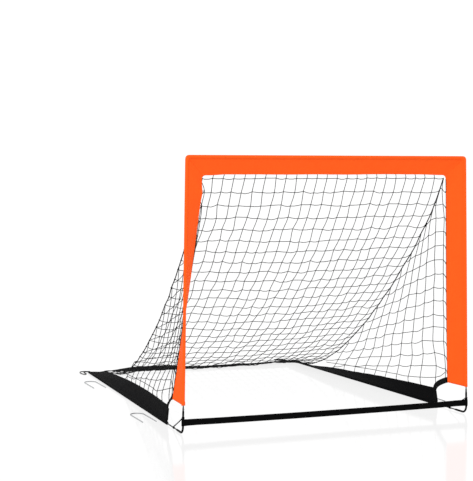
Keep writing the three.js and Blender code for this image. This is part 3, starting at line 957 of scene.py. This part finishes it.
def low_edge(side, y):
    """Point where the side net ends: the panel's edge, or the tape in front of it."""
    top = tape_top(side)
    if y >= top[0].y - FRONT_Y:
        return panel_edge(side, y)
    for a, b in zip(top, top[1:]):
        if b.y - FRONT_Y <= y:
            return a.lerp(b, clamp((a.y - FRONT_Y - y) / max(a.y - b.y, 1e-6)))
    return top[-1]


def side_surface(side, y, z):
    """Point of the side net at a distance behind the rods and a height."""
    edge = sleeve_edge(side, max(z, SLEEVE_END_Z))[0]
    front = edge.y - FRONT_Y
    back = max(seam_y_at(z), front + 0.001)
    share = clamp((y - front) / (back - front))
    x = lerp(edge.x, side * seam_x(back), share)
    x -= side * 0.016 * math.sin(math.pi * share)
    foot = low_edge(side, y)
    x = lerp(foot.x, x, smooth(0.0, 0.16, z - foot.z))
    return at(x, y, z)


def side_lines(side):
    """Places (y, z) where columns and rows of the side net cross, inside it or beyond its edges."""
    grid = []
    for c in range(SIDE_COLUMNS):
        column = []
        reach = SIDE_FIRST + SIDE_COLUMN_GAP * c
        for level in range(SIDE_ROWS):
            height = SIDE_LOW_Z + SIDE_ROW_GAP * level
            z = height
            for _ in range(5):
                low = 1 - smooth(0.0, 0.16, z - 0.05)
                behind = reach * (1.9 - 1.6 * clamp(z, 0, 0.9))
                behind += 0.085 * low * smooth(0, 0.10, reach)
                dip = 0.020 * math.exp(-behind / 0.03)
                z = height - (0.05 + 0.5 * height) * behind - dip
            edge = sleeve_edge(side, clamp(z, SLEEVE_END_Z, TOP_Z))[0].y - FRONT_Y
            y = edge + behind + CHANCE.uniform(-1, 1) * 0.003
            column.append((y, z + CHANCE.uniform(-1, 1) * 0.004))
        grid.append(column)
    return grid


def inside(side, y, z):
    if z >= SEAM_START_Z - 0.004 or y >= seam_y_at(z) - 0.006:
        return False
    return z > low_edge(side, y).z + 0.006


def crossing(side, a, b):
    """Last place inside the net on the way from a, which is inside, to b, which isn't."""

    def place(t):
        return lerp(a[0], b[0], t), lerp(a[1], b[1], t)

    y, z = place(last_true(lambda t: inside(side, *place(t)), 0.0, 1.0, 16))
    foot = low_edge(side, y)
    if z < foot.z + 0.02:
        return foot
    return seam_point(side, seam_y_at(z))


def runs_inside(side, places):
    """Cuts one line of places into stretches inside the net, each carried to the edge."""
    stretches, current = [], []
    for i, place in enumerate(places):
        if inside(side, *place):
            if not current and i:
                current.append(crossing(side, place, places[i - 1]))
            current.append(side_surface(side, *place))
        elif current:
            current.append(crossing(side, places[i - 1], place))
            stretches.append(current)
            current = []
    return stretches + ([current] if current else [])


def hem_row(side, grid):
    """The lowest row of the side net, parallel to the edge that it is sewn to."""
    row = []
    for column in grid:
        for (y, z), (y_up, z_up) in zip(column, column[1:]):
            share = clamp((low_edge(side, y).z + HEM - z) / max(z_up - z, 1e-6))
            place = (lerp(y, y_up, share), lerp(z, z_up, share))
            if 0 < share < 1 and inside(side, *place):
                row.append(side_surface(side, *place))
                break
    return row


def side_net(name, side):
    grid = side_lines(side)
    shell = Shell()
    for column in grid:
        for line in runs_inside(side, [(column[0][0], 0.0)] + column):
            strand(shell, line, slacks(len(line), 0.0015))
            for point in line:
                shell.bead(point, KNOT_R)
    for level in range(SIDE_ROWS):
        row = [column[level] for column in grid]
        z = row[0][1] - 0.012
        if not SLEEVE_END_Z + SLEEVE_RISE < z < SEAM_START_Z - 0.01:
            continue
        edge, rear = sleeve_edge(side, z)
        tie = edge + rear * 0.0028
        for line in runs_inside(side, row):
            if line[0] == side_surface(side, *row[0]):
                line = [tie] + line
            strand(shell, line, slacks(len(line), 0.006))
        shell.bead(tie, 0.0030, Vector((1, 1, 1.6)))
    foot_row = hem_row(side, grid)
    strand(shell, foot_row, slacks(len(foot_row), 0.001))
    low, high = SLEEVE_END_Z + SLEEVE_RISE, SEAM_START_Z - 0.004
    hem = []
    for k in range(91):
        edge, rear = sleeve_edge(side, lerp(low, high, k / 90))
        hem.append(edge + rear * (0.0024 + 0.0006 * math.sin(k * 1.9)))
    shell.tube(hem, 0.0013, 6)
    share_of = partial(side_share, side)
    folding_piece(shell, f"net_{name}", NET, f"side_net_{name}", share_of)


def seam_cord(name, side, stops):
    """Thicker cord that joins the back net to a side net, whipped at every row."""
    shell = Shell()
    knots = [jitter(seam_point(side, y), 0.0015) for y in stops]
    shell.tube(curve_through(knots, 4), 0.0019, 8)
    for point in knots[1:-1]:
        shell.bead(point, 0.0033)
    folding_piece(shell, f"seam_{name}", CORD, f"seam_cord_{name}", fan_share)


# ---- cords ----
LOOP_ROUTES = {
    "left": [
        (-0.006, 0.0004, 0.0040), (-0.005, 0.012, 0.0034), (0.002, 0.024, 0.0024),
        (0.014, 0.031, 0.0021), (0.028, 0.026, 0.0021), (0.036, 0.010, 0.0021),
        (0.039, -0.012, 0.0021), (0.037, -0.036, 0.0021), (0.030, -0.052, 0.0021),
        (0.022, -0.044, 0.0021), (0.021, -0.024, 0.0021), (0.022, -0.004, 0.0021),
        (0.016, 0.010, 0.0021), (0.008, 0.012, 0.0030), (0.004, 0.006, 0.0040),
        (0.003, 0.0004, 0.0044),
    ],
    "right": [
        (-0.004, 0.0004, 0.0040), (-0.006, 0.010, 0.0032), (-0.012, 0.022, 0.0022),
        (-0.016, 0.038, 0.0021), (-0.022, 0.054, 0.0021), (-0.034, 0.068, 0.0021),
        (-0.050, 0.074, 0.0021), (-0.060, 0.066, 0.0021), (-0.056, 0.052, 0.0021),
        (-0.044, 0.040, 0.0021), (-0.032, 0.030, 0.0021), (-0.024, 0.018, 0.0021),
        (-0.017, 0.008, 0.0030), (-0.015, 0.0004, 0.0040),
    ],
}


def stake_loop(name, side):
    """Cord loop sewn into a rear pocket, lying on the ground for a stake."""
    points = []
    for out, back, up in LOOP_ROUTES[name]:
        points.append(at(side * (REAR_HALF - 0.002 + out), REAR_Y + back, up))
    line = curve_through(points, 8)
    shell = Shell()
    shell.tube(line, CORD_R, 12)
    piece = riding_piece(shell, f"loop_{name}", CORD, "ground_frame", f"stake_loop_{name}")
    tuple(line[0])
    length_of(line)


def whipping(shell, centre, axis, radius, turns):
    """Thin thread wound tightly round a tube or rod of that radius."""
    thread = 0.0007
    across = axis.orthogonal().normalized()
    up = axis.cross(across)
    line = []
    for k in range(turns * 14 + 1):
        turn = 2 * math.pi * k / 14
        shift = axis * (2 * thread * (k / 14 - turns / 2))
        out = across * math.cos(turn) + up * math.sin(turn)
        line.append(centre + shift + out * (radius + thread))
    shell.tube(line, thread, 6)


def corner_tie(name, side):
    """Taut cord across a front corner, whipped to the tube above and to the rod below."""
    shell = Shell()
    rail = at(side * rail_x(TIE_Y), TIE_Y, FRAME_Z)
    post = at(side * post_x(TIE_Z), 0, TIE_Z)
    low = rail + Vector((0, 0, ROD_R + CORD_R + 0.0003))
    high = post + Vector((0, ELBOW_R + CORD_R + 0.0003, 0))
    line = []
    for k in range(13):
        sag = 0.0008 * math.sin(math.pi * k / 12)
        line.append(low.lerp(high, k / 12) - Vector((0, 0, sag)))
    shell.tube(line, CORD_R, 10)
    along_rail = (at(side * rail_x(TIE_Y + 0.1), TIE_Y + 0.1, FRAME_Z) - rail).normalized()
    along_post = (at(side * post_x(TIE_Z + 0.1), 0, TIE_Z + 0.1) - post).normalized()
    whipping(shell, rail, along_rail, ROD_R, 6)
    whipping(shell, post, along_post, ELBOW_R, 6)
    shell.bead(low, 0.0028)
    shell.bead(high, 0.0028)
    riding_piece(shell, f"tie_{name}", CORD, "ground_frame", f"corner_tie_{name}")


# ---- hard pieces ----
def bend_points(start, corner, end, radius, steps=12):
    """Straight, rounded at the corner, straight again."""
    a, b = (start - corner).normalized(), (end - corner).normalized()
    half = a.angle(b) / 2
    cut = radius / math.tan(half)
    centre = corner + (a + b).normalized() * (radius / math.sin(half))
    first, last = corner + a * cut - centre, corner + b * cut - centre
    sweep = first.angle(last)
    line = [start.lerp(corner + a * cut, k / 6) for k in range(6)]
    for k in range(steps + 1):
        share = k / steps
        turned = first * math.sin(sweep * (1 - share)) + last * math.sin(sweep * share)
        line.append(centre + turned / math.sin(sweep))
    return line + [(corner + b * cut).lerp(end, k / 6) for k in range(1, 7)]


def corner_elbow(name, side):
    top_z = PIVOT_Z - ELBOW_TOP
    top = at(side * post_x(top_z), 0, top_z)
    corner = at(side * BASE_HALF, 0, FRAME_Z)
    end = at(side * rail_x(ELBOW_FOOT_Y), ELBOW_FOOT_Y, FRAME_Z)
    line = bend_points(top, corner, end, ELBOW_BEND)
    radii = [ELBOW_R] * len(line)
    radii[0] = radii[-1] = ELBOW_R - 0.0006
    shell = Shell()
    shell.tube(line, radii, 20)
    riding_piece(shell, f"elbow_{name}", PAINTED, "ground_frame", f"corner_elbow_{name}")


def stake_line(side, start):
    """Centreline of a U stake that lies beside a side rod, its bow to the rear.

    The rod's cloth reaches as far outward as down to the floor, which is FRAME_Z.
    """
    half = STAKE_WIDTH / 2 - STAKE_R
    leg = STAKE_LENGTH - STAKE_BOW - STAKE_R
    near = rail_x(start) + FRAME_Z + STAKE_GAP + STAKE_R

    def point(across, along):
        return at(side * (near + half + across), start + along, STAKE_R)

    line = [point(-half, leg * k / 10) for k in range(10)]
    for sign in (-1, 1):
        ends = [point(sign * half, leg), point(sign * half, leg + STAKE_BOW * 0.62)]
        ends += [point(sign * half * 0.5, leg + STAKE_BOW), point(0, leg + STAKE_BOW)]
        for k in range(12):
            t = k / 12 if sign < 0 else 1 - k / 12
            weights = ((1 - t) ** 3, 3 * t * (1 - t) ** 2, 3 * t * t * (1 - t), t**3)
            line.append(sum((e * w for e, w in zip(ends, weights)), Vector()))
    return line + [point(half, leg * (1 - k / 10)) for k in range(11)]


def ground_stake(place, name, side):
    line = stake_line(side, STAKE_PLACES[place])
    line[0:1] = [line[0], line[0].lerp(line[1], 0.28)]
    line[-1:] = [line[-1].lerp(line[-2], 0.28), line[-1]]
    radii = [STAKE_R * 0.35] + [STAKE_R] * (len(line) - 2) + [STAKE_R * 0.35]
    shell = Shell()
    shell.tube(line, radii, 16)
    stake = f"stake_{place}_{name}"
    riding_piece(shell, f"{stake}_wire", STEEL, stake, f"ground_{stake}")


def dress(prefix, material):
    """Gives the CAD nodes whose names start so their finish."""
    for name, node in frame["nodes"].items():
        if name.startswith(prefix):
            for face in node.data.polygons:
                face.use_smooth = True
            for place in node.material_slots:
                place.material = material


# ---- stage ----
def floor():
    mesh = bpy.data.meshes.new("floor")
    half = 9.0
    corners = [(-half, -half, 0), (half, -half, 0), (half, half, 0), (-half, half, 0)]
    mesh.from_pydata(corners, [], [(0, 1, 2, 3)])
    mesh.materials.append(floor_finish())
    add_object("floor", mesh)


def lamp(name, where, size, power, target=(0, 0, 0.3)):
    data = bpy.data.lights.new(name, "AREA")
    data.shape = "DISK"
    data.size = size
    data.energy = power
    obj = add_object(name, data)
    obj.location = where
    obj.rotation_euler = (Vector(target) - Vector(where)).to_track_quat("-Z", "Y").to_euler()
    obj.visible_glossy = False


def studio():
    world = bpy.data.worlds.new("studio")
    world.use_nodes = True
    background = world.node_tree.nodes["Background"]
    background.inputs["Color"].default_value = (1, 1, 1, 1)
    background.inputs["Strength"].default_value = 1.05
    bpy.context.scene.world = world
    bpy.context.scene.view_settings.view_transform = "Standard"
    lamp("key", (-2.4, -3.2, 3.0), 2.4, 60)
    lamp("rim", (2.6, 2.2, 3.2), 2.4, 30)


def camera():
    """Where the photo was taken: left of the goal and a little lower than its crossbar."""
    data = bpy.data.cameras.new("camera")
    data.lens = 99.5
    data.sensor_width = 36
    obj = add_object("camera", data)
    obj.location = (-1.9097, FRONT_Y - 4.0834, 0.8599)
    obj.rotation_euler = (math.radians(90 - 2.958), 0, math.radians(-20.986))
    bpy.context.scene.camera = obj


# ---- assembly ----
ORANGE = orange_cloth()
BLACK = black_cloth()
WEBBING = webbing()
CORD = braided("cord", (0.004, 0.004, 0.0045), turn=1.6, pitch=0.0026)
NET = braided("net_twine", (0.005, 0.005, 0.0056), turn=2.0, pitch=0.0016)
PAINTED = painted_finish()
FIBRE = rod_finish()
STEEL = steel_finish()

camera()
for name, side in SIDES.items():
    stake_loop(name, side)
    corner_tie(name, side)

crossbar_sleeve()
rear_band()
ground_strap()
row_stops = seam_stops(BACK_ROW_GAP)
back_net(row_stops)
for name, side in SIDES.items():
    post_sleeve(name, side)
    side_panel(name, side)
    rear_pocket(name, side)
    corner_binding(name, side)
    side_net(name, side)
    seam_cord(name, side, row_stops)
    corner_elbow(name, side)
    for place in STAKE_PLACES:
        ground_stake(place, name, side)

for prefix in ("crossbar_rod", "side_rod", "post_rod"):
    dress(prefix, FIBRE)
dress("rod_end_cap", cap_finish())
dress("top_corner_connector", PAINTED)

floor()
studio()
